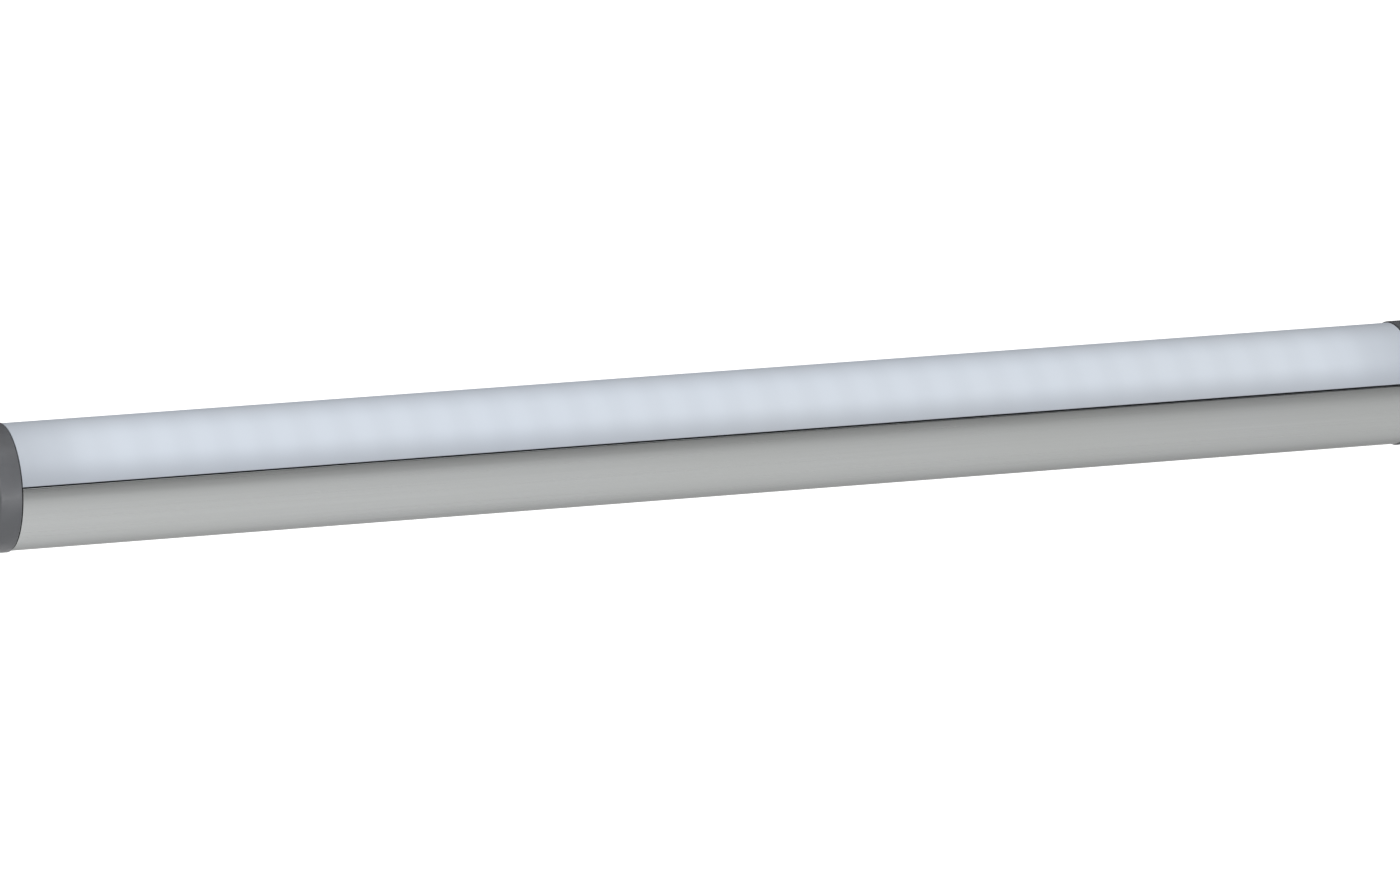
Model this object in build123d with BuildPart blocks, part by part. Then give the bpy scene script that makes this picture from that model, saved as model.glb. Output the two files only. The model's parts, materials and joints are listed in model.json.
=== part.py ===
"""Tubular monitor light bar: aluminium half-round housing, frosted half-round diffuser, round end caps.

Frame: +X runs along the bar from the dimmer knob to the power inlet, +Z is the side that lights up,
and the origin is the centre of the tube. Everything is in millimetres.
Left means the -X end, with the dimmer knob. Right means the +X end, with the power inlet.
"""

import os
from math import cos, radians, sin

from build123d import *

os.makedirs("parts", exist_ok=True)

LEFT, RIGHT = -1, 1

# ---------------------------------------------------------------- driving dimensions
TUBE_RADIUS = 19.0
TUBE_LENGTH = 454.0  # between the two cap flanges
TUBE_HALF = TUBE_LENGTH / 2
GASKET = 0.4  # thickness at each end
JOINT_ANGLE = 8.8  # degrees above the horizontal where the housing stops and the diffuser starts
JOINT_GAP = 0.4  # the dark line between them
HOUSING_WALL = 1.7
DIFFUSER_WALL = 1.8
CLEARANCE = 0.1

# housing: shelf, screw ports and mounting slot
SHELF_TOP = -2.6
SHELF_THICKNESS = 1.6
PORT_Y, PORT_Z = 11.4, -6.6
PORT_RADIUS, PORT_HOLE, PORT_GAP = 2.6, 1.35, 1.5
SLOT_MOUTH = 6.2  # standard 6 mm T-slot
SLOT_WIDTH, SLOT_TOP, SLOT_BOTTOM = 11.0, -12.4, -16.6
SLOT_WALL = 1.2
NOTCH_DEPTH, NOTCH_HALF_WIDTH = 4.0, 6.0  # shelf cut back at the left end for the LED leads

# light engine
LED_COUNT, LED_PITCH = 36, 12.5
LED_X, LED_Y, LED_HEIGHT = 2.8, 3.5, 0.7
BOARD_WIDTH, BOARD_THICKNESS, TAPE_THICKNESS = 14.0, 1.0, 0.2
BOARD_END = 4.0  # board past the centre of the last LED
BOARD_SPLIT = 0.4  # gap between the two boards

# end caps
CAP_RADIUS, CAP_LENGTH, CAP_FLOOR = 19.4, 7.0, 2.2
RECESS_RADIUS = 16.6
FACE_PROUD = 2.0  # how far the knob and the inlet plate stand out of their caps
FACE_RADIUS = 16.3
LIP_LENGTH, LIP_INNER, LIP_OUTER = 3.0, 15.6, 17.0

# dimmer
POST_RADIUS, POST_FLAT, POST_TOP = 3.0, 2.5, 6.4
CARRIER_RADIUS, CARRIER_BOTTOM, CARRIER_TOP = 12.0, 6.1, 7.0
PRESS_TRAVEL = 0.4
CONTROL_BOARD_RADIUS, CONTROL_BOARD_THICKNESS = 14.2, 1.0
SWITCH_Z, SWITCH_HEIGHT = -7.7, 1.4
BOARD_SCREWS = ((7.8, 4.5), (-7.8, 4.5))  # where the small screws hold the round boards to the caps
KNOB_GROOVES = 48

# power inlet
SOCKET_WIDTH, SOCKET_HEIGHT, SOCKET_WALL = 8.94, 3.26, 0.3
SOCKET_BACK, SOCKET_MOUTH = 1.7, 8.8
TONGUE_WIDTH, TONGUE_THICKNESS, TONGUE_LENGTH = 6.7, 0.7, 6.0

# driver
DRIVER_START, DRIVER_LENGTH = -200.0, 70.0
DRIVER_HALF_WIDTH, DRIVER_BOTTOM, DRIVER_THICKNESS = 8.0, -10.4, 1.4
LEAD_RADIUS, SUPPLY_LEAD_RADIUS = 0.5, 0.65
RIBBON_OFFSET = 4.8  # from the middle of the left cap, towards the front
SUPPLY_Z = -8.6  # height at which the supply leads go through the right cap

# slot nuts
NUT_REST = 150.0
NUT_LENGTH, NUT_WIDTH, NUT_NECK = 14.0, 10.2, 5.8
THREAD_RADIUS = 1.65  # M4 thread core

# ---------------------------------------------------------------- values that follow
HOUSING_HALF = TUBE_HALF - GASKET
HOUSING_BORE = TUBE_RADIUS - HOUSING_WALL
DIFFUSER_BORE = TUBE_RADIUS - DIFFUSER_WALL
BOARD_BOTTOM = SHELF_TOP + TAPE_THICKNESS
BOARD_TOP = BOARD_BOTTOM + BOARD_THICKNESS
BOARD_HALF = (LED_COUNT - 1) / 2 * LED_PITCH + BOARD_END
FACE_TOP = CAP_LENGTH + FACE_PROUD
FACE_BACK = FACE_TOP - 1.6  # inside of the knob's and the inlet plate's faces
BOARD_FACE = CAP_FLOOR + CONTROL_BOARD_THICKNESS  # outer face of the round boards in the caps
DRIVER_TOP = DRIVER_BOTTOM + DRIVER_THICKNESS
DRIVER_END = DRIVER_START + DRIVER_LENGTH
CONNECTOR_Z = DRIVER_TOP + 1.3
SLOT_ROOF = SLOT_TOP + SLOT_WALL
NUT_SEAT = SLOT_BOTTOM + CLEARANCE


# ---------------------------------------------------------------- helpers
def end_plane(side, depth):
    """A plane across the bar at one end, facing outwards. Depth 0 is the inner face of the cap flange."""
    return Plane(origin=(side * (TUBE_HALF + depth), 0, 0), x_dir=(0, side, 0), z_dir=(side, 0, 0))


def polar(radius, angle):
    """The point at a radius and an angle in degrees."""
    return (radius * cos(radians(angle)), radius * sin(radians(angle)))


def annular_sector(inner, outer, start, end):
    """Adds the face between two radii and two angles to the sketch being built."""
    with BuildLine() as outline:
        CenterArc((0, 0), outer, start, end - start)
        CenterArc((0, 0), inner, start, end - start)
        Line(polar(inner, start), polar(outer, start))
        Line(polar(inner, end), polar(outer, end))
    make_face(outline.edges())


def block(low, high, mode=Mode.ADD):
    """Adds a box between two corners to the part being built, or cuts it away."""
    size = [b - a for a, b in zip(low, high)]
    middle = tuple((a + b) / 2 for a, b in zip(low, high))
    with Locations(middle):
        Box(*size, mode=mode)


def save(builder, name):
    """Labels a finished piece and writes it to its own file."""
    builder.part.label = name
    export_step(builder.part, f"parts/{name}.step")


def screws(name, plane, spots, head, head_height, shank, length):
    """Pan-head screws with a cross recess. The plane is the seat under the heads and faces outwards."""
    with BuildPart() as group:
        with BuildSketch(plane):
            with Locations(*spots):
                Circle(head)
        extrude(amount=head_height)
        rims = group.edges().sort_by(Axis(plane.origin, plane.z_dir))
        chamfer(rims[-len(spots):], head_height * 0.35)
        with BuildSketch(plane):
            with Locations(*spots):
                Circle(shank)
        extrude(amount=-length)
        with BuildSketch(plane.offset(head_height)):
            with Locations(*spots):
                Rectangle(head * 1.1, head * 0.26)
                Rectangle(head * 0.26, head * 1.1)
        extrude(amount=-head_height * 0.6, mode=Mode.SUBTRACT)
    save(group, name)


def lead(name, points, radius, bend):
    """A round insulated wire along straight runs joined by arcs."""
    with BuildPart() as wire:
        with BuildLine() as route:
            FilletPolyline(*points, radius=bend)
        with BuildSketch(Plane(origin=route.line @ 0, z_dir=route.line % 0)):
            Circle(radius)
        sweep()
    save(wire, name)


# ---------------------------------------------------------------- housing and diffuser
def housing_extrusion():
    """The half-round aluminium extrusion, with its shelf, screw ports and mounting slot."""
    joint = JOINT_ANGLE
    with BuildPart() as housing:
        with BuildSketch(Plane.YZ.offset(-HOUSING_HALF)) as profile:
            annular_sector(HOUSING_BORE, TUBE_RADIUS, -180 - joint, joint)
            with Locations((0, SHELF_TOP - SHELF_THICKNESS / 2)):
                Rectangle(2 * HOUSING_BORE + 0.2, SHELF_THICKNESS)
            block_top = SLOT_TOP + SLOT_WALL
            block_bottom = -TUBE_RADIUS + 0.95 * HOUSING_WALL
            with Locations((0, (block_top + block_bottom) / 2)):
                Rectangle(SLOT_WIDTH + 2 * SLOT_WALL, block_top - block_bottom)
            with Locations((PORT_Y, PORT_Z), (-PORT_Y, PORT_Z)):
                Circle(PORT_RADIUS)
            for side in (LEFT, RIGHT):  # rails that hold the LED boards
                rail = BOARD_WIDTH / 2 + CLEARANCE
                with Locations((side * (rail + 0.6), SHELF_TOP + 0.95)):
                    Rectangle(1.2, 2.1)
                with Locations((side * (rail + 0.3), SHELF_TOP + 1.75)):
                    Rectangle(1.8, 0.5)
            with Locations((PORT_Y, PORT_Z), (-PORT_Y, PORT_Z)):
                Circle(PORT_HOLE, mode=Mode.SUBTRACT)
            with Locations((PORT_Y, PORT_Z - PORT_RADIUS / 2), (-PORT_Y, PORT_Z - PORT_RADIUS / 2)):
                Rectangle(PORT_GAP, PORT_RADIUS + 0.2, mode=Mode.SUBTRACT)
            with Locations((0, (SLOT_TOP + SLOT_BOTTOM) / 2)):
                Rectangle(SLOT_WIDTH, SLOT_TOP - SLOT_BOTTOM, mode=Mode.SUBTRACT)
            with Locations((0, (SLOT_BOTTOM - TUBE_RADIUS) / 2 - 0.5)):
                Rectangle(SLOT_MOUTH, TUBE_RADIUS + SLOT_BOTTOM + 1.1, mode=Mode.SUBTRACT)
            with Locations((HOUSING_BORE + 0.1, 0.9), (-HOUSING_BORE - 0.1, 0.9)):
                Rectangle(0.9, 1.4, mode=Mode.SUBTRACT)  # grooves for the diffuser's barbs
            corners = profile.vertices().group_by(Axis.Y)[-1]
            fillet(corners, 0.3)
        extrude(amount=2 * HOUSING_HALF)
        notch_low = (-HOUSING_HALF - 1, -NOTCH_HALF_WIDTH, SHELF_TOP - SHELF_THICKNESS - 0.2)
        notch_high = (-HOUSING_HALF + NOTCH_DEPTH, NOTCH_HALF_WIDTH, SHELF_TOP + 0.2)
        block(notch_low, notch_high, Mode.SUBTRACT)
    save(housing, "housing_extrusion")


def diffuser():
    """The frosted half-round cover, with a leg and a barb down each side that snap into the housing."""
    start = JOINT_ANGLE + JOINT_GAP / TUBE_RADIUS * 57.3
    leg_outer = HOUSING_BORE - 0.15
    leg_inner = leg_outer - 1.2
    with BuildPart() as cover:
        with BuildSketch(Plane.YZ.offset(-HOUSING_HALF)) as profile:
            annular_sector(DIFFUSER_BORE, TUBE_RADIUS, start, 180 - start)
            annular_sector(leg_inner, leg_outer, -5, 21)
            annular_sector(leg_inner, leg_outer, 159, 185)
            annular_sector(leg_inner, DIFFUSER_BORE + 0.4, start, 21)
            annular_sector(leg_inner, DIFFUSER_BORE + 0.4, 159, 180 - start)
            barb = ((leg_outer - 0.1, 0.35), (leg_outer + 0.4, 0.5), (leg_outer - 0.1, 1.4))
            for side in (LEFT, RIGHT):
                with BuildLine():
                    Polyline([(side * y, z) for y, z in barb], close=True)
                make_face()
            lip = TUBE_RADIUS * sin(radians(start))
            corners = profile.vertices().filter_by_position(Axis.Y, lip - 0.01, lip + 0.01)
            fillet(corners, 0.3)
        extrude(amount=2 * HOUSING_HALF)
    save(cover, "diffuser")


# ---------------------------------------------------------------- light engine
def led_positions(side):
    """The X positions of the LEDs on one board."""
    return [side * (n + 0.5) * LED_PITCH for n in range(LED_COUNT // 2)]


def light_engine(side, name):
    """One LED board with its tape, LEDs and phosphor windows."""
    near, far = side * BOARD_SPLIT / 2, side * BOARD_HALF
    low, high = min(near, far), max(near, far)
    half = BOARD_WIDTH / 2
    with BuildPart() as tape:
        block((low, -half + 1, SHELF_TOP), (high, half - 1, BOARD_BOTTOM))
    save(tape, f"thermal_tape_{name}")
    with BuildPart() as board:
        block((low, -half, BOARD_BOTTOM), (high, half, BOARD_TOP))
    save(board, f"led_board_{name}")
    spots = [(x, 0) for x in led_positions(side)]
    window_depth = 0.25
    with BuildPart() as leds:
        with BuildSketch(Plane.XY.offset(BOARD_TOP)):
            with Locations(*spots):
                Rectangle(LED_X, LED_Y)
        extrude(amount=LED_HEIGHT)
        with BuildSketch(Plane.XY.offset(BOARD_TOP + LED_HEIGHT)):
            with Locations(*spots):
                Circle(1.15)
        extrude(amount=-window_depth, mode=Mode.SUBTRACT)
    save(leds, f"leds_{name}")
    with BuildPart() as phosphor:
        with BuildSketch(Plane.XY.offset(BOARD_TOP + LED_HEIGHT - window_depth)):
            with Locations(*spots):
                Circle(1.15)
        extrude(amount=window_depth - 0.05)
    save(phosphor, f"led_phosphor_{name}")


def board_parts():
    """The resistors between the LEDs and the link that joins the two boards."""
    step = 3 * LED_PITCH
    first = -5.5 * step
    with BuildPart() as resistors:
        for n in range(LED_COUNT // 3):
            x = first + n * step
            block((x - 1, -5.2, BOARD_TOP), (x + 1, -3.9, BOARD_TOP + 0.5))
    save(resistors, "led_resistors")
    with BuildPart() as link:
        block((-4.0, 3.0, BOARD_TOP), (4.0, 6.0, BOARD_TOP + 1.4))
        chamfer(link.faces().sort_by(Axis.Z)[-1].edges(), 0.25)
    save(link, "board_link")


# ---------------------------------------------------------------- end caps
def double_d(radius, flat):
    """Adds a round shape with two flats to the sketch being built."""
    Circle(radius)
    Rectangle(2 * flat, 2 * radius, mode=Mode.INTERSECT)


def end_cap(side, name):
    """A dark cap with a plain outer band, a round recess and a lip that tucks under the diffuser."""
    outward = Axis((0, 0, 0), (side, 0, 0))
    ports = ((PORT_Y, PORT_Z), (-PORT_Y, PORT_Z))
    with BuildPart() as cap:
        with BuildSketch(end_plane(side, 0)):
            Circle(CAP_RADIUS)
        extrude(amount=CAP_LENGTH)
        fillet(cap.edges().group_by(outward)[-1], 0.6)
        fillet(cap.edges().group_by(outward)[0], 0.25)
        with BuildSketch(end_plane(side, CAP_FLOOR)):
            Circle(RECESS_RADIUS)
        extrude(amount=CAP_LENGTH, mode=Mode.SUBTRACT)
        with BuildSketch(end_plane(side, 0)):
            annular_sector(LIP_INNER, LIP_OUTER, 25, 155)
        extrude(amount=-LIP_LENGTH)
        with BuildSketch(end_plane(side, 0)):
            with Locations(*ports):
                Circle(1.6)
            with Locations(*BOARD_SCREWS):
                Circle(0.7)
            if side == LEFT:
                with Locations((RIBBON_OFFSET, CONNECTOR_Z)):
                    Rectangle(5.8, 2.4)
            else:
                SlotOverall(SOCKET_WIDTH + 0.8, SOCKET_HEIGHT + 0.8)
                with Locations((0, SUPPLY_Z)):
                    SlotOverall(5.4, 2.4)
        extrude(amount=CAP_FLOOR, mode=Mode.SUBTRACT)
        with BuildSketch(end_plane(side, CAP_FLOOR)):
            with Locations(*ports):
                Circle(3.0)
        extrude(amount=-1.0, mode=Mode.SUBTRACT)
        if side == LEFT:  # the post that guides the knob
            with BuildSketch(end_plane(side, CAP_FLOOR)):
                double_d(POST_RADIUS, POST_FLAT)
            extrude(amount=POST_TOP - CAP_FLOOR)
            with BuildSketch(end_plane(side, POST_TOP)):
                Circle(1.05)
            extrude(amount=-4.5, mode=Mode.SUBTRACT)
    save(cap, name)


def gasket(side, name):
    """The thin seal between the cap and the ends of the housing and diffuser."""
    with BuildPart() as seal:
        with BuildSketch(end_plane(side, -GASKET)):
            Circle(TUBE_RADIUS - 0.4)
            Circle(LIP_OUTER + CLEARANCE, mode=Mode.SUBTRACT)
        extrude(amount=GASKET)
    save(seal, name)


# ---------------------------------------------------------------- dimmer
def control_board():
    """The round board behind the knob, with its rotation sensor and the body of its push switch."""
    with BuildPart() as board:
        with BuildSketch(end_plane(LEFT, CAP_FLOOR)):
            Circle(CONTROL_BOARD_RADIUS)
            Circle(POST_RADIUS + 2.0, mode=Mode.SUBTRACT)
            with Locations(*BOARD_SCREWS):
                Circle(0.9, mode=Mode.SUBTRACT)
        extrude(amount=CONTROL_BOARD_THICKNESS)
    save(board, "control_board")
    with BuildPart() as sensor:
        with BuildSketch(end_plane(LEFT, BOARD_FACE)):
            with Locations((0, 12.4)):
                Rectangle(3.0, 2.6)
        extrude(amount=0.75)
    save(sensor, "rotation_sensor")
    with BuildPart() as switch:
        with BuildSketch(end_plane(LEFT, BOARD_FACE)):
            with Locations((0, SWITCH_Z)):
                Rectangle(4.8, 4.8)
        extrude(amount=SWITCH_HEIGHT)
        with BuildSketch(end_plane(LEFT, BOARD_FACE + SWITCH_HEIGHT)):
            with Locations((0, SWITCH_Z)):
                Circle(1.1)
        extrude(amount=-PRESS_TRAVEL - 0.5, mode=Mode.SUBTRACT)
    save(switch, "push_switch")
    screws("control_board_screws", end_plane(LEFT, BOARD_FACE), BOARD_SCREWS, 1.4, 0.8, 0.65, 2.6)


def dimmer_mechanism():
    """The sliding carrier and its switch plunger, and the screw that keeps them on the post."""
    hub_end = BOARD_FACE + PRESS_TRAVEL
    plunger_end = BOARD_FACE + SWITCH_HEIGHT - PRESS_TRAVEL
    with BuildPart() as carrier:
        with BuildSketch(end_plane(LEFT, CARRIER_BOTTOM)):
            Circle(CARRIER_RADIUS)
        extrude(amount=CARRIER_TOP - CARRIER_BOTTOM)
        with BuildSketch(end_plane(LEFT, hub_end)):
            Circle(4.7)
        extrude(amount=CARRIER_BOTTOM - hub_end)
        with BuildSketch(end_plane(LEFT, POST_TOP - 0.05)):
            Circle(4.4)
        extrude(amount=1, mode=Mode.SUBTRACT)
        with BuildSketch(end_plane(LEFT, 3.0)):
            double_d(POST_RADIUS + 0.06, POST_FLAT + 0.06)
        extrude(amount=5, mode=Mode.SUBTRACT)
    save(carrier, "knob_carrier")
    with BuildPart() as plunger:
        with BuildSketch(end_plane(LEFT, plunger_end)):
            with Locations((0, SWITCH_Z)):
                Circle(1.0)
        extrude(amount=CARRIER_BOTTOM - plunger_end)
    save(plunger, "switch_plunger")
    with BuildPart() as washer:
        with BuildSketch(end_plane(LEFT, POST_TOP)):
            Circle(4.2)
            Circle(1.2, mode=Mode.SUBTRACT)
        extrude(amount=0.5)
    save(washer, "retaining_washer")
    screws("retaining_screw", end_plane(LEFT, POST_TOP + 0.5), ((0, 0),), 2.3, 0.7, 1.0, 4.0)


def dimmer_knob():
    """The shallow push-and-turn knob, its ring magnet and the disc set into its face."""
    inlay_radius, inlay_depth = 13.0, 0.4
    skirt = 2.9
    catch = CARRIER_BOTTOM - CLEARANCE  # the rim that holds the carrier in
    seat = CARRIER_TOP + CLEARANCE
    with BuildPart() as knob:
        with BuildSketch(end_plane(LEFT, skirt)):
            Circle(FACE_RADIUS)
        extrude(amount=FACE_TOP - skirt)
        fillet(knob.edges().group_by(Axis.X)[0], 0.5)
        with BuildSketch(end_plane(LEFT, skirt)):
            Circle(14.7)
        extrude(amount=FACE_BACK - skirt, mode=Mode.SUBTRACT)
        with BuildSketch(end_plane(LEFT, catch)):
            Circle(13.4)
            Circle(CARRIER_RADIUS + 0.08, mode=Mode.SUBTRACT)
        extrude(amount=FACE_BACK - catch)
        with BuildSketch(end_plane(LEFT, catch - 0.5)):
            Circle(13.4)
            Circle(CARRIER_RADIUS - 0.5, mode=Mode.SUBTRACT)
        extrude(amount=0.5)
        with BuildSketch(end_plane(LEFT, seat)):
            Circle(CARRIER_RADIUS + 0.2)
        extrude(amount=0.4)
        with BuildSketch(end_plane(LEFT, seat)):
            Circle(4.8)
        extrude(amount=1.1, mode=Mode.SUBTRACT)
        with BuildSketch(end_plane(LEFT, FACE_TOP - inlay_depth)):
            Circle(inlay_radius)
        extrude(amount=1, mode=Mode.SUBTRACT)
        with BuildSketch(end_plane(LEFT, CAP_LENGTH + 0.3)):
            with PolarLocations(FACE_RADIUS + 0.12, KNOB_GROOVES):
                Circle(0.32)
        extrude(amount=FACE_PROUD, mode=Mode.SUBTRACT)
    save(knob, "dimmer_knob")
    with BuildPart() as inlay:
        with BuildSketch(end_plane(LEFT, FACE_TOP - inlay_depth)):
            Circle(inlay_radius - 0.05)
        extrude(amount=inlay_depth)
        with BuildSketch(end_plane(LEFT, FACE_TOP)):
            with Locations((0, 10.2)):
                Circle(0.9)
        extrude(amount=-0.2, mode=Mode.SUBTRACT)
    save(inlay, "knob_inlay")
    with BuildPart() as magnet:
        with BuildSketch(end_plane(LEFT, 4.8)):
            Circle(14.65)
            Circle(13.45, mode=Mode.SUBTRACT)
        extrude(amount=FACE_BACK - 4.8)
    save(magnet, "encoder_magnet")


# ---------------------------------------------------------------- power inlet
def power_inlet():
    """The round plate at the right end, and the socket on its board behind it."""
    with BuildPart() as plate:
        with BuildSketch(end_plane(RIGHT, CAP_FLOOR)):
            Circle(FACE_RADIUS)
        extrude(amount=FACE_TOP - CAP_FLOOR)
        fillet(plate.edges().group_by(Axis.X)[-1], 0.5)
        with BuildSketch(end_plane(RIGHT, CAP_FLOOR)):
            Circle(14.7)
        extrude(amount=FACE_BACK - CAP_FLOOR, mode=Mode.SUBTRACT)
        with BuildSketch(end_plane(RIGHT, FACE_BACK - 0.4)):
            SlotOverall(SOCKET_WIDTH + 0.3, SOCKET_HEIGHT + 0.3)
        extrude(amount=3, mode=Mode.SUBTRACT)
        mouth = plate.faces().sort_by(Axis.X)[-1].inner_wires()[0].edges()
        chamfer(mouth, 0.4)
    save(plate, "inlet_plate")
    with BuildPart() as board:
        with BuildSketch(end_plane(RIGHT, CAP_FLOOR)):
            Circle(CONTROL_BOARD_RADIUS - 0.2)
            SlotOverall(SOCKET_WIDTH + 0.2, SOCKET_HEIGHT + 0.2, mode=Mode.SUBTRACT)
            with Locations(*BOARD_SCREWS):
                Circle(0.9, mode=Mode.SUBTRACT)
        extrude(amount=CONTROL_BOARD_THICKNESS)
    save(board, "inlet_board")
    with BuildPart() as shell:
        with BuildSketch(end_plane(RIGHT, SOCKET_BACK)):
            SlotOverall(SOCKET_WIDTH, SOCKET_HEIGHT)
        extrude(amount=SOCKET_MOUTH - SOCKET_BACK)
        with BuildSketch(end_plane(RIGHT, SOCKET_BACK + SOCKET_WALL)):
            SlotOverall(SOCKET_WIDTH - 2 * SOCKET_WALL, SOCKET_HEIGHT - 2 * SOCKET_WALL)
        extrude(amount=SOCKET_MOUTH, mode=Mode.SUBTRACT)
        with BuildSketch(end_plane(RIGHT, BOARD_FACE)):  # solder tabs
            with Locations((SOCKET_WIDTH / 2 + 0.4, 0), (-SOCKET_WIDTH / 2 - 0.4, 0)):
                Rectangle(1.0, 1.4)
        extrude(amount=0.3)
    save(shell, "socket_shell")
    with BuildPart() as tongue:
        with BuildSketch(end_plane(RIGHT, SOCKET_BACK + SOCKET_WALL)):
            SlotOverall(SOCKET_WIDTH - 2 * SOCKET_WALL - 0.1, SOCKET_HEIGHT - 2 * SOCKET_WALL - 0.1)
        extrude(amount=1.0)
        with BuildSketch(end_plane(RIGHT, SOCKET_BACK + SOCKET_WALL)):
            Rectangle(TONGUE_WIDTH, TONGUE_THICKNESS)
        extrude(amount=TONGUE_LENGTH)
    save(tongue, "socket_tongue")
    tip = SOCKET_BACK + SOCKET_WALL + TONGUE_LENGTH
    height = TONGUE_THICKNESS / 2 + 0.04
    with BuildPart() as contacts:
        with BuildSketch(end_plane(RIGHT, tip - 0.5)):
            for side in (LEFT, RIGHT):
                with Locations(*[((n - 5.5) * 0.5, side * height) for n in range(12)]):
                    Rectangle(0.28, 0.08)
        extrude(amount=-3.6)
    save(contacts, "socket_contacts")
    with BuildPart() as filters:
        with BuildSketch(end_plane(RIGHT, BOARD_FACE)):
            with Locations((-5, -6.5), (5, -6.5), (0, 6.5)):
                Rectangle(3.2, 1.6)
        extrude(amount=1.2)
    save(filters, "inlet_board_parts")
    screws("inlet_board_screws", end_plane(RIGHT, BOARD_FACE), BOARD_SCREWS, 1.4, 0.8, 0.65, 2.6)


# ---------------------------------------------------------------- driver
def driver():
    """The constant-current driver: a tray, a board and what is soldered to it."""
    start, end = DRIVER_START, DRIVER_END
    half = DRIVER_HALF_WIDTH
    with BuildPart() as tray:
        block((start - 1, -half - 0.7, SLOT_ROOF), (end + 1, half + 0.7, DRIVER_TOP + 0.8))
        block((start - 2, -half - 0.1, DRIVER_BOTTOM), (end + 2, half + 0.1, DRIVER_TOP + 2), Mode.SUBTRACT)
    save(tray, "driver_tray")
    with BuildPart() as board:
        block((start, -half, DRIVER_BOTTOM), (end, half, DRIVER_TOP))
    save(board, "driver_board")
    with BuildPart() as inductor:
        block((-166, -3.7, DRIVER_TOP), (-158.6, 3.7, DRIVER_TOP + 3.4))
        fillet(inductor.edges().filter_by(Axis.Z), 1.2)
    save(inductor, "driver_inductor")
    with BuildPart() as capacitors:
        with BuildSketch(Plane.XY.offset(DRIVER_TOP)):
            with Locations((-178, 3.5), (-178, -3.8), (-145, 0)):
                Circle(3.1)
        extrude(amount=3.9)
    save(capacitors, "driver_capacitors")
    with BuildPart() as chips:
        block((-155, -3.0, DRIVER_TOP), (-150, 3.0, DRIVER_TOP + 1.5))
        block((-188.5, -2.5, DRIVER_TOP), (-184, 2.5, DRIVER_TOP + 1.5))
        block((-172, -2.0, DRIVER_TOP), (-169, 2.0, DRIVER_TOP + 1.0))
    save(chips, "driver_chips")
    connector_top = DRIVER_TOP + 2.4
    with BuildPart() as connectors:
        block((start, 1.6, DRIVER_TOP), (start + 6, 6.4, connector_top))
        block((start, -7.8, DRIVER_TOP), (start + 6, -2.2, connector_top))
        block((end - 6, -2.6, DRIVER_TOP), (end, 2.6, connector_top))
    save(connectors, "driver_connectors")


def wiring():
    """The leads and the ribbon between the boards."""
    rise_x = -HOUSING_HALF + NOTCH_DEPTH / 2 + 0.1
    pad_x = -BOARD_HALF + 2.2
    pad_z = BOARD_TOP + LEAD_RADIUS
    for name, y in (("led_lead_red", 3.2), ("led_lead_black", 4.8)):
        start = (DRIVER_START, y, CONNECTOR_Z)
        lead(name, (start, (rise_x, y, CONNECTOR_Z), (rise_x, y, pad_z), (pad_x, y, pad_z)), LEAD_RADIUS, 1.8)
    rest_z = SLOT_ROOF + SUPPLY_LEAD_RADIUS + 0.05
    for name, y in (("supply_lead_red", 1.2), ("supply_lead_black", -1.2)):
        along = (
            (DRIVER_END, y, CONNECTOR_Z),
            (DRIVER_END + 9, y, CONNECTOR_Z),
            (DRIVER_END + 20, y, rest_z),
            (TUBE_HALF - 24, y, rest_z),
            (TUBE_HALF - 13, y, SUPPLY_Z),
            (TUBE_HALF + CAP_FLOOR, y, SUPPLY_Z),
        )
        lead(name, along, SUPPLY_LEAD_RADIUS, 10)
    pitch = 1.27
    with BuildPart() as ribbon:
        with BuildSketch(end_plane(LEFT, CAP_FLOOR)):
            with Locations(*[(RIBBON_OFFSET + (n - 1.5) * pitch, CONNECTOR_Z) for n in range(4)]):
                Circle(pitch / 2 + 0.04)
        extrude(amount=-(TUBE_HALF + CAP_FLOOR + DRIVER_START))
    save(ribbon, "control_ribbon")
    clip_top = rest_z + SUPPLY_LEAD_RADIUS + 0.9
    with BuildPart() as clips:
        for x in (-90, 20, 130):
            block((x - 4, -3, SLOT_ROOF), (x + 4, 3, clip_top))
            block((x - 5, -2, SLOT_ROOF - 1), (x + 5, 2, clip_top - 0.8), Mode.SUBTRACT)
    save(clips, "lead_clips")


# ---------------------------------------------------------------- slot nuts
def slot_nut(side, name):
    """A sliding M4 nut for the mounting slot, with the leaf spring that stops it rattling."""
    x = side * NUT_REST
    start, end = x - NUT_LENGTH / 2, x + NUT_LENGTH / 2
    top = SLOT_TOP - 0.7
    bottom = NUT_SEAT - 1.8
    with BuildPart() as nut:
        block((start, -NUT_WIDTH / 2, NUT_SEAT), (end, NUT_WIDTH / 2, top))
        fillet(nut.edges().filter_by(Axis.Z), 1.0)
        block((start, -NUT_NECK / 2, bottom), (end, NUT_NECK / 2, NUT_SEAT))
        with BuildSketch(Plane.XY.offset(bottom)):
            with Locations((x, 0)):
                Circle(THREAD_RADIUS)
        extrude(amount=10, mode=Mode.SUBTRACT)
    save(nut, f"slot_nut_{name}")
    crown = SLOT_TOP - 0.03
    with BuildPart() as spring:
        with BuildSketch(Plane.XZ.offset(-2.2)):
            with BuildLine():
                ThreePointArc((x - 6, top), (x, crown), (x + 6, top))
                ThreePointArc((x - 5.4, top), (x, crown - 0.2), (x + 5.4, top))
                Line((x - 6, top), (x - 5.4, top))
                Line((x + 6, top), (x + 5.4, top))
            make_face()
        extrude(amount=4.4)
    save(spring, f"slot_nut_spring_{name}")


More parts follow.
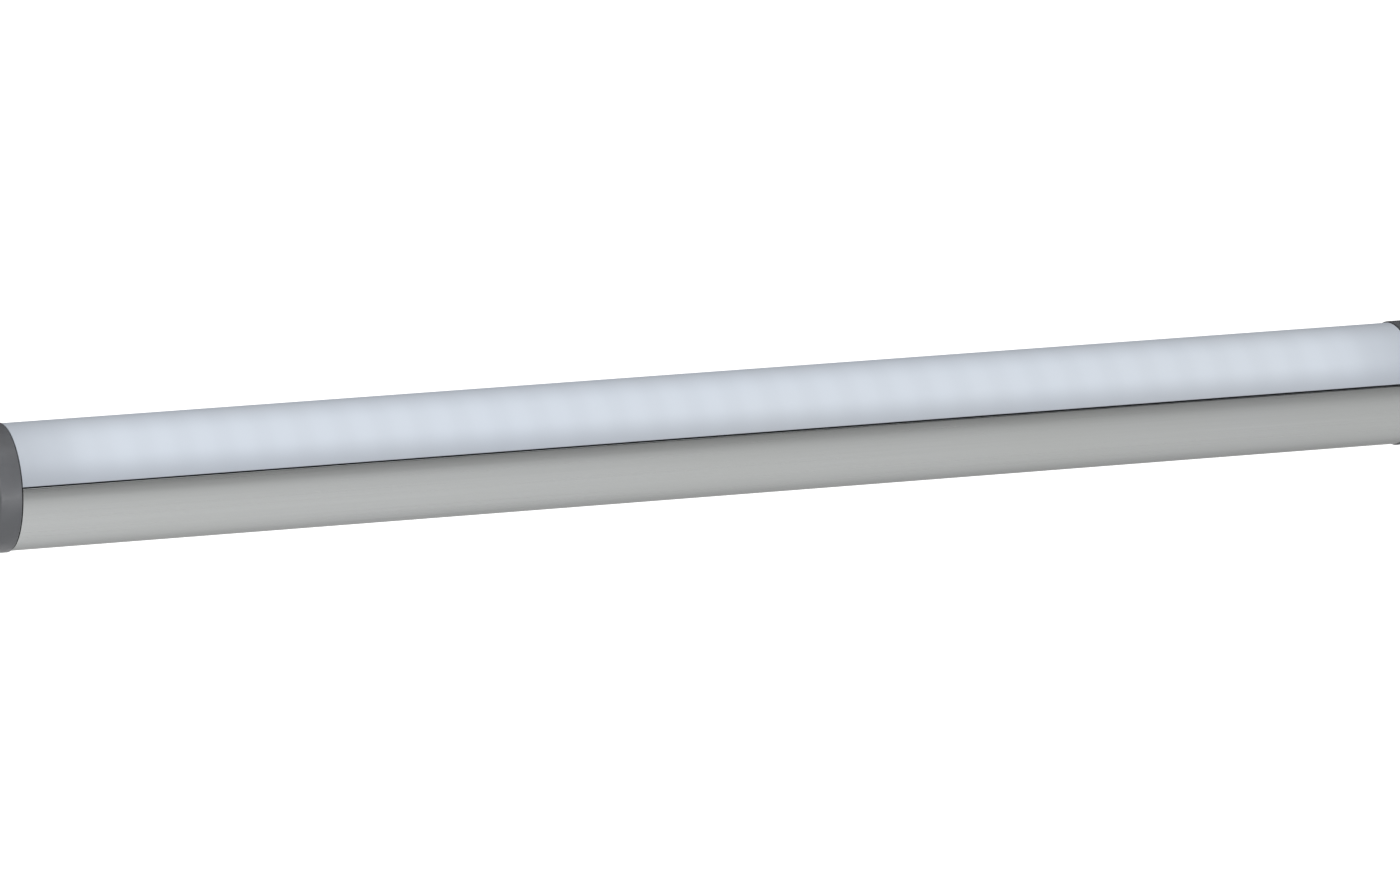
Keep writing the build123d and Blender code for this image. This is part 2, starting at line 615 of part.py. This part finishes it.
# ---------------------------------------------------------------- the bar
housing_extrusion()
diffuser()
for end, end_name in ((LEFT, "left"), (RIGHT, "right")):
    light_engine(end, end_name)
    end_cap(end, f"{end_name}_end_cap")
    gasket(end, f"{end_name}_gasket")
    seat = end_plane(end, CAP_FLOOR - 1.0)
    screws(f"{end_name}_cap_screws", seat, ((PORT_Y, PORT_Z), (-PORT_Y, PORT_Z)), 2.75, 0.95, 1.3, 10)
    slot_nut(end, end_name)
board_parts()
control_board()
dimmer_mechanism()
dimmer_knob()
power_inlet()
driver()
wiring()
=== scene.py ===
"""Looks of the round light bar: materials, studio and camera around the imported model."""

import json
from math import cos, pi, radians, sin

import bmesh
import bpy
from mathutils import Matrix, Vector


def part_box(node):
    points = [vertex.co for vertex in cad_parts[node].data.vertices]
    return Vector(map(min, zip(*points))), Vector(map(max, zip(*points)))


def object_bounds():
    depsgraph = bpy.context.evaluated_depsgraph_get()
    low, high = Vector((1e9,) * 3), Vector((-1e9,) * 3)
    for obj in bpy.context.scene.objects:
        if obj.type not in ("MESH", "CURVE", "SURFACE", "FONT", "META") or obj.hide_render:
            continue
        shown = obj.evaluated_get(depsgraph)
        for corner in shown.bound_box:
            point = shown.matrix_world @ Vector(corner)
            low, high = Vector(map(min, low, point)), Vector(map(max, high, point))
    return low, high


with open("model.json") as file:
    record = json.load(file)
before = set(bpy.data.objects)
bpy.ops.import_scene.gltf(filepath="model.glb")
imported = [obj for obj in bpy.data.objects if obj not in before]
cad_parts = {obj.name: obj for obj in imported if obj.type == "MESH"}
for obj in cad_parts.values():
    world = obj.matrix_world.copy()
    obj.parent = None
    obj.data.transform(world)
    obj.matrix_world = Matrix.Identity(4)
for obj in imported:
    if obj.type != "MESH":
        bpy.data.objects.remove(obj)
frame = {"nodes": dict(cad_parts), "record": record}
cad_low, cad_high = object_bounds()
nodes = frame["nodes"]
MM = 0.001

TUBE_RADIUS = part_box("housing_extrusion")[1].y
TUBE_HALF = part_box("diffuser")[1].x  # half the length of the lit tube
DIFFUSER_WALL = 1.8 * MM
LED_PITCH = 12.5 * MM


# ---------------------------------------------------------------- node helpers
class Shader:
    """A Principled material and short calls for the nodes that feed it."""

    def __init__(self, name, colour, roughness, metallic=0.0):
        self.name = name
        self.material = bpy.data.materials.new(name)
        self.material.use_nodes = True
        self.tree = self.material.node_tree
        self.bsdf = self.tree.nodes["Principled BSDF"]
        self.roughness = roughness
        self.set("Base Color", (*colour, 1))
        self.set("Roughness", roughness)
        self.set("Metallic", metallic)
        self.place = self.node("ShaderNodeTexCoord").outputs["Object"]

    def set(self, key, value):
        """Puts a number, a colour or another node's output on one of the material's own sockets."""
        self.feed(self.bsdf.inputs[key], value)

    def node(self, kind, **settings):
        made = self.tree.nodes.new(kind)
        for key, value in settings.items():
            setattr(made, key, value)
        return made

    def link(self, source, target):
        self.tree.links.new(source, target)

    def feed(self, socket, value):
        """Puts a number, a colour or another node's output on a socket."""
        if isinstance(value, bpy.types.NodeSocket):
            self.link(value, socket)
        else:
            socket.default_value = value

    def math(self, operation, a, b=0.0):
        """The result of one operation on numbers or on other nodes' outputs."""
        made = self.node("ShaderNodeMath", operation=operation)
        self.feed(made.inputs[0], a)
        self.feed(made.inputs[1], b)
        return made.outputs[0]

    def axes(self):
        """The x, y and z of the point, in metres."""
        made = self.node("ShaderNodeSeparateXYZ")
        self.link(self.place, made.inputs[0])
        return made.outputs

    def noise(self, scale, stretch=(1, 1, 1), detail=4.0, rough=0.55):
        """Noise from about 0.3 to 0.7. Scale is in cells per metre, times the stretch on each axis."""
        mapping = self.node("ShaderNodeMapping")
        self.link(self.place, mapping.inputs["Vector"])
        mapping.inputs["Scale"].default_value = stretch
        made = self.node("ShaderNodeTexNoise")
        self.link(mapping.outputs["Vector"], made.inputs["Vector"])
        made.inputs["Scale"].default_value = scale
        made.inputs["Detail"].default_value = detail
        made.inputs["Roughness"].default_value = rough
        return made.outputs["Fac"]

    def ramp(self, value, low, high, to_low=0.0, to_high=1.0, smooth=False):
        """A value that goes from to_low to to_high while the given one goes from low to high."""
        made = self.node("ShaderNodeMapRange")
        made.interpolation_type = "SMOOTHSTEP" if smooth else "LINEAR"
        self.feed(made.inputs["Value"], value)
        for key, number in (("From Min", low), ("From Max", high), ("To Min", to_low), ("To Max", to_high)):
            made.inputs[key].default_value = number
        return made.outputs["Result"]

    def blend(self, amount, first, second):
        """A colour between two colours."""
        made = self.node("ShaderNodeMix", data_type="RGBA")
        self.feed(made.inputs["Factor"], amount)
        for key, value in (("A", first), ("B", second)):
            socket = [s for s in made.inputs if s.name == key and s.type == "RGBA"][0]
            self.feed(socket, value if isinstance(value, bpy.types.NodeSocket) else (*value, 1))
        return [s for s in made.outputs if s.type == "RGBA"][0]

    def edges(self, radius):
        """1 on sharp edges and 0 on flat faces, over about the radius."""
        bevel = self.node("ShaderNodeBevel", samples=4)
        bevel.inputs["Radius"].default_value = radius
        geometry = self.node("ShaderNodeNewGeometry")
        dot = self.node("ShaderNodeVectorMath", operation="DOT_PRODUCT")
        self.link(bevel.outputs["Normal"], dot.inputs[0])
        self.link(geometry.outputs["Normal"], dot.inputs[1])
        return self.ramp(dot.outputs["Value"], 0.995, 0.8)

    def vary_roughness(self, value, spread):
        """Roughness that follows noise, up to the spread either side of the material's own."""
        self.set("Roughness", self.ramp(value, 0.3, 0.7, self.roughness - spread, self.roughness + spread))

    def bump(self, height, distance, strength=1.0):
        made = self.node("ShaderNodeBump")
        made.inputs["Strength"].default_value = strength
        made.inputs["Distance"].default_value = distance
        self.link(height, made.inputs["Height"])
        self.set("Normal", made.outputs["Normal"])


def shade(colour, factor):
    """The colour made darker or lighter by a factor."""
    return tuple(min(1.0, c * factor) for c in colour)


# ---------------------------------------------------------------- materials
def moulded(name, colour, roughness, grain=2600, depth=0.012, spread=0.12, wear=0.35, gloss=0.5):
    """Moulded plastic or rubber: fine spark-eroded grain, faint mottling, edges rubbed a little lighter.

    Grain is in cells per metre and depth in millimetres. Spread, wear and gloss are shares of 1.
    """
    s = Shader(name, colour, roughness)
    s.set("Specular IOR Level", gloss)
    cloud = s.noise(60, detail=3)
    tint = s.blend(s.ramp(cloud, 0.3, 0.7), shade(colour, 1 - spread), shade(colour, 1 + spread))
    rubbed = s.math("MULTIPLY", s.edges(0.35 * MM), s.ramp(s.noise(400), 0.4, 0.65, 0.15, wear))
    s.set("Base Color", s.blend(rubbed, tint, shade(colour, 2.2)))
    s.vary_roughness(s.noise(350), 0.06)
    s.bump(s.noise(grain, detail=3), depth * MM)
    return s


def metal(name, colour, roughness, stretch=(1, 1, 1), scale=900, spread=0.06):
    """Plain metal with a drawn or ground grain. Stretch under 1 draws the grain out along that axis."""
    s = Shader(name, colour, roughness, metallic=1.0)
    grain = s.noise(scale, stretch, detail=5, rough=0.6)
    tint = s.blend(s.ramp(grain, 0.3, 0.7), shade(colour, 1 - spread), shade(colour, 1 + spread))
    s.set("Base Color", s.blend(s.math("MULTIPLY", s.edges(0.2 * MM), 0.5), tint, shade(colour, 1.35)))
    s.vary_roughness(grain, 0.07)
    s.bump(grain, 0.006 * MM)
    return s


def anodised_housing():
    """Clear satin anodising: fine die lines along the bar, faint cloudiness, edges a little brighter."""
    colour = (0.352, 0.360, 0.360)
    s = Shader("satin_aluminium", colour, 0.31, metallic=1.0)
    s.set("Specular Tint", (0.45, 0.45, 0.45, 1))  # the oxide dulls it at grazing angles
    die_lines = s.noise(1500, (0.004, 1, 1), detail=6, rough=0.7)
    broad = s.noise(260, (0.01, 1, 1), detail=3)
    cloud = s.noise(14, detail=4)
    tint = s.blend(s.ramp(die_lines, 0.3, 0.7), shade(colour, 0.95), shade(colour, 1.05))
    tint = s.blend(s.ramp(cloud, 0.35, 0.7, 0.0, 0.35), tint, (0.342, 0.35, 0.338))
    tint = s.blend(s.ramp(broad, 0.5, 0.75, 0.0, 0.3), tint, shade(colour, 1.08))
    s.set("Base Color", s.blend(s.math("MULTIPLY", s.edges(0.3 * MM), 0.5), tint, shade(colour, 1.5)))
    s.vary_roughness(die_lines, 0.06)
    s.bump(die_lines, 0.004 * MM, 0.6)
    return s


def frosted_diffuser():
    """Bluish-white frosted cover, opaque, that glows by itself with painted light: a lit strip down each
    flank, shaped to stand in for how the studio light falls, with faint spots at the LEDs' pitch.
    """
    colour = (0.523, 0.564, 0.630)
    s = Shader("frosted_diffuser", colour, 0.5)
    s.set("Specular IOR Level", 0.35)
    x, y, z = s.axes()

    radius = s.math("SQRT", s.math("ADD", s.math("MULTIPLY", y, y), s.math("MULTIPLY", z, z)))
    shell_start = TUBE_RADIUS - DIFFUSER_WALL
    shell = s.ramp(radius, shell_start + 0.1 * MM, shell_start + 0.6 * MM)  # 0 on the legs inside the joint
    cloud = s.noise(9, (1, 2, 2), detail=3)
    body = s.blend(s.ramp(cloud, 0.35, 0.7), colour, (0.525, 0.560, 0.612))
    # Painted shade: the legs inside the joint get a near-black colour, standing in for the shade in the gap.
    s.set("Base Color", s.blend(shell, (0.05, 0.05, 0.055), body))
    s.vary_roughness(s.noise(420), 0.04)
    s.bump(s.noise(5200, detail=2), 0.004 * MM)

    # Painted light: the emission below rises from the joint and falls towards the top, standing in for how
    # the studio light falls across the cover. It is not light from the LED parts inside.
    angle = s.math("ARCTAN2", z, s.math("ABSOLUTE", y))  # 0 at the side of the tube, a quarter turn on top
    painted_rise = s.ramp(angle, radians(5), radians(36), 0.12, 1.0, smooth=True)
    fall = s.ramp(angle, radians(52), radians(92), 1.0, 0.30, smooth=True)
    beat = s.math("COSINE", s.math("MULTIPLY", x, 2 * pi / LED_PITCH))  # -1 over each LED
    spots = s.ramp(beat, 1.0, -1.0, 0.97, 1.05, smooth=True)
    # Painted shade: the glow fades over the last 30 mm at each end. Part of this is where the LEDs stop; the
    # rest is painted shade from the caps.
    end_fade_and_painted_shade = s.ramp(s.math("ABSOLUTE", x), TUBE_HALF - 30 * MM, TUBE_HALF, 1.0, 0.45, smooth=True)
    painted_band = s.math("MULTIPLY", s.math("MULTIPLY", painted_rise, fall), spots)
    glow = s.math("MULTIPLY", painted_band, s.math("MULTIPLY", end_fade_and_painted_shade, shell))
    s.set("Emission Color", (0.84, 0.92, 1.0, 1))
    s.set("Emission Strength", s.math("MULTIPLY", glow, 0.26))
    return s


def circuit_board(name, colour, copper):
    """Solder mask over copper tracks that show as a faint relief."""
    s = Shader(name, colour, 0.38)
    tracks = s.node("ShaderNodeTexBrick", offset=0.35)
    s.link(s.place, tracks.inputs["Vector"])
    tracks.inputs["Scale"].default_value = 180
    tracks.inputs["Mortar Size"].default_value = 0.06
    s.set("Base Color", s.blend(s.ramp(tracks.outputs["Fac"], 0, 1, 0.0, 0.5), colour, copper))
    s.vary_roughness(s.noise(500), 0.05)
    s.bump(tracks.outputs["Fac"], 0.03 * MM)
    return s


def phosphor():
    """The speckled yellow gel in the windows of the LEDs, faintly lit."""
    s = Shader("led_phosphor", (0.90, 0.74, 0.22), 0.35)
    speckle = s.noise(9000, detail=2)
    s.set("Base Color", s.blend(s.ramp(speckle, 0.35, 0.65), (0.84, 0.64, 0.16), (0.95, 0.82, 0.34)))
    s.set("Emission Color", (1.0, 0.96, 0.85, 1))
    s.set("Emission Strength", 1.5)
    return s


# Each slot's plastic or rubber: colour, roughness, and what differs from the usual grain.
PLASTICS = {
    "cap_plastic": ((0.072, 0.074, 0.079), 0.42, {"gloss": 0.15}),
    "knob_plastic": ((0.060, 0.061, 0.065), 0.45, {}),
    "knob_face": ((0.035, 0.035, 0.038), 0.6, {"grain": 4200, "depth": 0.02, "spread": 0.05}),
    "carrier_plastic": ((0.50, 0.50, 0.47), 0.4, {}),
    "gasket_rubber": ((0.012, 0.012, 0.013), 0.7, {"wear": 0.1}),
    "thermal_tape": ((0.55, 0.56, 0.54), 0.8, {"grain": 1800, "wear": 0.1}),
    "led_body": ((0.86, 0.86, 0.83), 0.3, {"depth": 0.004, "spread": 0.04, "wear": 0.05}),
    "black_component": ((0.018, 0.018, 0.019), 0.5, {"wear": 0.15}),
    "white_connector": ((0.76, 0.74, 0.66), 0.35, {"depth": 0.006, "wear": 0.1}),
    "inductor_body": ((0.045, 0.045, 0.048), 0.55, {"grain": 3000, "depth": 0.03}),
    "tray_plastic": ((0.55, 0.56, 0.55), 0.35, {"wear": 0.15}),
    "tongue_plastic": ((0.014, 0.014, 0.015), 0.4, {"depth": 0.004, "wear": 0.1}),
    "red_insulation": ((0.50, 0.018, 0.014), 0.5, {"wear": 0.1}),
    "black_insulation": ((0.013, 0.013, 0.013), 0.5, {"wear": 0.1}),
    "grey_insulation": ((0.20, 0.20, 0.205), 0.5, {"wear": 0.1}),
}
# Each slot's metal: colour, roughness, and its grain.
METALS = {
    "capacitor_can": ((0.68, 0.68, 0.70), 0.3, {"stretch": (1, 1, 0.05)}),
    "screw_steel": ((0.55, 0.55, 0.56), 0.32, {"scale": 1600}),
    "socket_steel": ((0.66, 0.66, 0.67), 0.24, {"stretch": (0.05, 1, 1), "scale": 1600}),
    "contact_gold": ((0.83, 0.58, 0.24), 0.25, {"scale": 2400}),
    "magnet": ((0.40, 0.40, 0.41), 0.28, {"scale": 1800}),
    "nut_steel": ((0.50, 0.50, 0.50), 0.36, {"stretch": (0.08, 1, 1), "scale": 1400}),
    "spring_steel": ((0.62, 0.61, 0.59), 0.25, {"stretch": (0.05, 1, 1), "scale": 1400}),
}
SHADERS = [
    anodised_housing(),
    frosted_diffuser(),
    circuit_board("white_circuit_board", (0.84, 0.84, 0.81), (0.74, 0.73, 0.68)),
    circuit_board("dark_circuit_board", (0.012, 0.085, 0.035), (0.05, 0.19, 0.08)),
    phosphor(),
    *(moulded(name, colour, roughness, **options) for name, (colour, roughness, options) in PLASTICS.items()),
    *(metal(name, colour, roughness, **options) for name, (colour, roughness, options) in METALS.items()),
]
materials = {shader.name: shader.material for shader in SHADERS}
for part in frame["record"]["subparts"]:
    for material_slot in nodes[part["node"]].material_slots:
        material_slot.material = materials[part["material_slot"]]


# ---------------------------------------------------------------- studio helpers
def add_object(name, data):
    """A new object in the scene."""
    made = bpy.data.objects.new(name, data)
    bpy.context.scene.collection.objects.link(made)
    return made


def look_along(holder, heading):
    """Turns a light or the camera to face a heading."""
    holder.rotation_mode = "QUATERNION"
    holder.rotation_quaternion = heading.to_track_quat("-Z", "Y")


def direction(azimuth, elevation):
    """Towards the viewer. Azimuth 0 is the front (-Y), and positive turns towards +X."""
    a, e = radians(azimuth), radians(elevation)
    return Vector((sin(a) * cos(e), -cos(a) * cos(e), sin(e)))


def area_light(name, place, aim, size, power, gloss=True):
    """A rectangular soft light at a place, facing a point."""
    lamp = bpy.data.lights.new(name, "AREA")
    lamp.shape = "RECTANGLE"
    lamp.size, lamp.size_y = size
    lamp.energy = power
    holder = add_object(name, lamp)
    holder.location = place
    look_along(holder, aim - place)
    holder.visible_camera = False
    holder.visible_glossy = gloss
    return holder


# ---------------------------------------------------------------- floor and flag
FLOOR_LEVEL = -0.30
FLOOR_RADIUS = 30
GLOW_FROM, GLOW_TO = -0.30, 0.45  # where along X the floor's glow starts and ends its fall
GLOW_LEFT, GLOW_RIGHT = 0.95, 0.68
MATT_FILL = 0.35  # share of the glow that lights matt surfaces


def make_floor():
    """A wide glowing floor: pure white to the camera, fading to the right in shiny surfaces."""
    mesh = bpy.data.meshes.new("floor")
    shape = bmesh.new()
    bmesh.ops.create_circle(shape, cap_ends=True, segments=96, radius=FLOOR_RADIUS)
    bmesh.ops.translate(shape, verts=shape.verts, vec=(0, 0, FLOOR_LEVEL))
    shape.to_mesh(mesh)
    shape.free()
    s = Shader("floor", (0.85, 0.85, 0.85), 0.9)
    s.set("Specular IOR Level", 0.0)
    s.set("Emission Color", (1, 1, 1, 1))
    along_bar = s.ramp(s.axes()[0], GLOW_FROM, GLOW_TO, GLOW_LEFT, GLOW_RIGHT)
    rays = s.node("ShaderNodeLightPath").outputs
    fill = s.ramp(rays["Is Diffuse Ray"], 0, 1, 1.0, MATT_FILL)
    s.set("Emission Strength", s.math("MAXIMUM", s.math("MULTIPLY", along_bar, fill), rays["Is Camera Ray"]))
    s.material.cycles.emission_sampling = "NONE"
    mesh.materials.append(s.material)
    return add_object("floor", mesh)


def make_flag():
    """A black card on the floor far in front, seen only in reflections, that darkens them under the joint."""
    half_width, far, near = 4, -20, -3.8
    mesh = bpy.data.meshes.new("flag")
    shape = bmesh.new()
    corners = [(-half_width, far), (half_width, far), (half_width, near), (-half_width, near)]
    shape.faces.new([shape.verts.new((x, y, 0)) for x, y in corners])
    shape.to_mesh(mesh)
    shape.free()
    mesh.materials.append(moulded("flag", (0.02, 0.02, 0.02), 0.9).material)
    card = add_object("flag", mesh)
    card.location = (0, 0, FLOOR_LEVEL + 0.01)
    for ray_kind in ("camera", "diffuse", "transmission", "volume_scatter", "shadow"):
        setattr(card, "visible_" + ray_kind, False)
    return card


floor = make_floor()
flag = make_flag()

# ---------------------------------------------------------------- sky
HORIZON_STRENGTH, ZENITH_STRENGTH = 0.0035, 0.033
HORIZON_HEIGHT, ZENITH_HEIGHT = 0.12, 0.9  # sines of the elevations at which those start


def make_sky():
    """A dim white sky, brighter overhead, that the camera sees as pure white."""
    world = bpy.data.worlds.new("studio")
    bpy.context.scene.world = world
    world.use_nodes = True
    sky = world.node_tree
    background = sky.nodes["Background"]
    background.inputs["Color"].default_value = (1, 1, 1, 1)
    coordinates = sky.nodes.new("ShaderNodeTexCoord")
    split = sky.nodes.new("ShaderNodeSeparateXYZ")
    sky.links.new(coordinates.outputs["Generated"], split.inputs[0])
    height = sky.nodes.new("ShaderNodeMapRange")
    height.inputs["From Min"].default_value = HORIZON_HEIGHT
    height.inputs["From Max"].default_value = ZENITH_HEIGHT
    height.inputs["To Min"].default_value = HORIZON_STRENGTH
    height.inputs["To Max"].default_value = ZENITH_STRENGTH
    sky.links.new(split.outputs["Z"], height.inputs["Value"])
    rays = sky.nodes.new("ShaderNodeLightPath")
    seen = sky.nodes.new("ShaderNodeMix")
    sky.links.new(rays.outputs["Is Camera Ray"], seen.inputs["Factor"])
    sky.links.new(height.outputs["Result"], seen.inputs["A"])
    seen.inputs["B"].default_value = 1.0
    sky.links.new(seen.outputs["Result"], background.inputs["Strength"])


make_sky()

# ---------------------------------------------------------------- lights
CENTRE = Vector((0, 0, 0))
LEFT_CAP = Vector((-TUBE_HALF, 0, 0))  # where the left cap meets the tube

sun = bpy.data.lights.new("key", "SUN")
sun.energy = 1.5
sun.angle = radians(50)
key = add_object("key", sun)
look_along(key, -direction(-30, 35))
key.visible_glossy = False
area_light("top_softbox", Vector((-0.1, -0.1, 1.3)), CENTRE, (1.6, 0.5), 8)
area_light("back_fill", direction(165, 35) * 1.6, CENTRE, (1.2, 0.6), 3.2, gloss=False)

cap_parts = bpy.data.collections.new("cap_parts")
for name in ("left_end_cap", "right_end_cap", "dimmer_knob", "inlet_plate"):
    cap_parts.objects.link(nodes[name])
for cap_lamp in (
    area_light("cap_light", direction(-25, 14) * 1.5, LEFT_CAP, (0.5, 0.3), 10),
    area_light("cap_glint", LEFT_CAP + direction(21.6, -7) * 1.5, LEFT_CAP, (0.3, 0.16), 11),
):
    cap_lamp.light_linking.receiver_collection = cap_parts

# ---------------------------------------------------------------- camera
LENS, SENSOR = 257.14, 36.0
AZIMUTH, ELEVATION = -21.61, 10.92
DISTANCE = 160 * TUBE_RADIUS
SHIFT_RIGHT, SHIFT_UP = 0.25 * TUBE_RADIUS, 0.06 * TUBE_RADIUS  # how far the tube sits off the view's middle

camera_data = bpy.data.cameras.new("camera")
camera_data.sensor_width = SENSOR
camera_data.lens = LENS
camera_data.clip_end = 100
camera = add_object("camera", camera_data)
back = direction(AZIMUTH, ELEVATION)
look_along(camera, -back)
right = camera.rotation_quaternion @ Vector((1, 0, 0))
up = camera.rotation_quaternion @ Vector((0, 1, 0))
middle = (cad_low + cad_high) / 2
camera.location = middle + back * DISTANCE - right * SHIFT_RIGHT - up * SHIFT_UP
bpy.context.scene.camera = camera
bpy.context.scene.view_settings.view_transform = "Standard"
bpy.context.scene.view_settings.look = "None"
